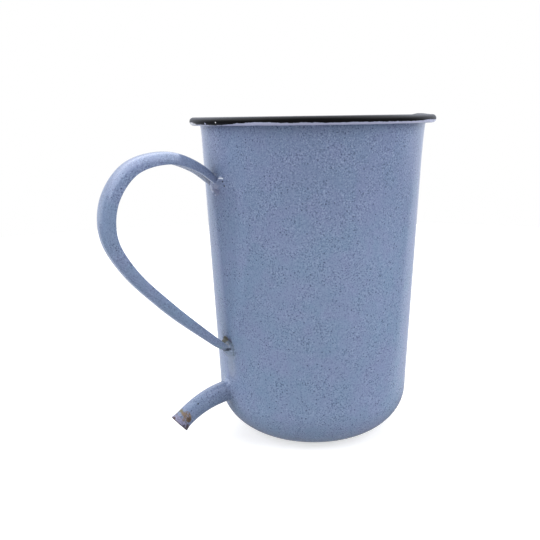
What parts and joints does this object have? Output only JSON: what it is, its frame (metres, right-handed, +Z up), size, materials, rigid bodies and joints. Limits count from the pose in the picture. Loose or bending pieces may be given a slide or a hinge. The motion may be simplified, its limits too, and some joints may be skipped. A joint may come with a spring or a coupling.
{
  "type": "enamel irrigator",
  "caption": "Enamelled steel irrigator can with a curled dark rim and a shallow lip, a folded strap handle and a bent outlet tube low on the wall.",
  "frame": {"origin": "middle of the flat base, on the surface that the can stands on", "axes": "+Z up along the can's axis; the handle and the outlet both point along -X"},
  "size_m": [0.1989, 0.1406, 0.1877],
  "materials": {
    "enamel": "glossy speckled grey-blue vitreous enamel, black along the top of the rim",
    "enamelled_solder": "lumpy grey-blue enamel over solder, chipped to rust in places",
    "bare_wire": "plain drawn steel wire, hidden inside the curled rim"
  },
  "bodies": {
    "root": {"can": "enamel", "rim_wire": "bare_wire", "handle": "enamel", "upper_handle_solder": "enamelled_solder", "lower_handle_solder": "enamelled_solder", "outlet_tube": "enamel", "outlet_solder": "enamelled_solder"}
  },
  "joints": []
}
